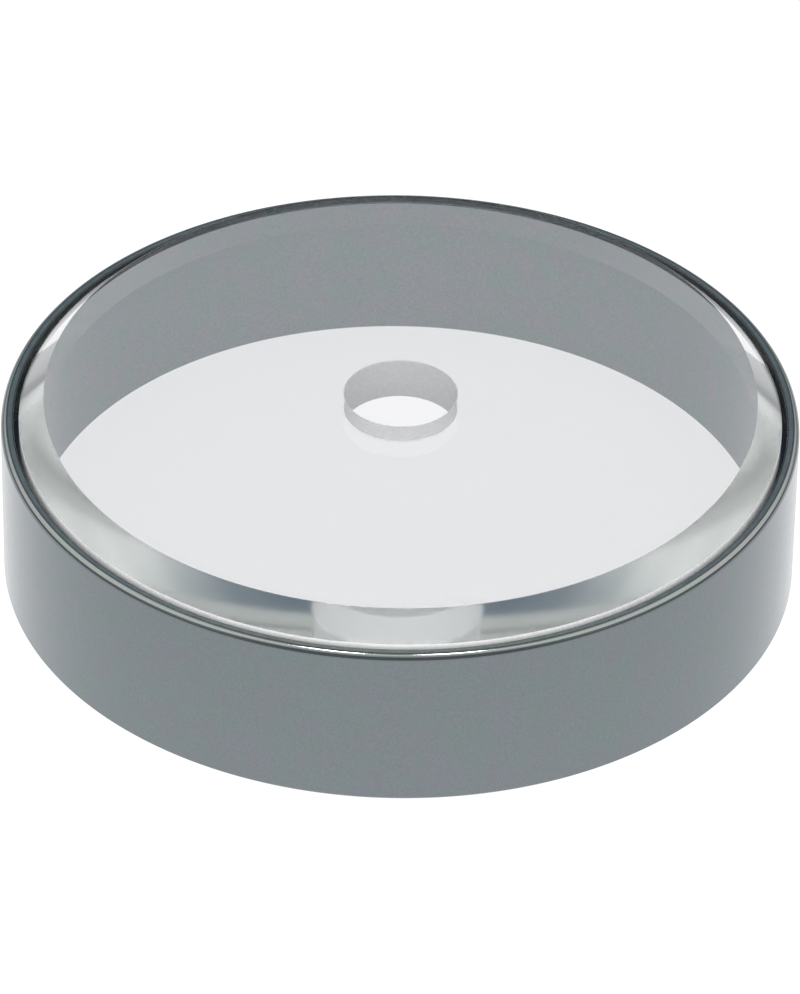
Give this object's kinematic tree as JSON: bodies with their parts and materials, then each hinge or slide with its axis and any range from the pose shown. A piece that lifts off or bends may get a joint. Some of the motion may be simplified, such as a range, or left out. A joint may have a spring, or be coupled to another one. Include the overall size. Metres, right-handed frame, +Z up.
{
  "type": "glass-topped bench work stand",
  "caption": "Low round bench stand: a hollow anodised aluminium ring with a thick bevelled clear plate, pierced at its centre, lying loose in a shallow recess at the top.",
  "frame": {"origin": "centre of the ring's foot, on the surface that the stand rests on", "axes": "+Z up along the common axis of the ring, the plate and the centre hole; the object is round, so +X and -Y are only the right and the front of the view it is usually seen from"},
  "size_m": [0.06, 0.06, 0.0152],
  "materials": {
    "anodised_ring": "grey anodised over a fine even grain, satin",
    "clear_plate": "clear, polished faces and bevel, finely ground edge and hole"
  },
  "bodies": {
    "base": {"base_ring": "anodised_ring"},
    "plate": {"glass_plate": "clear_plate"}
  },
  "joints": [
    {"name": "plate_lift", "type": "slide", "parent": "base", "child": "plate", "axis": [0, 0, 1], "range_m": [0, 0.025]}
  ]
}
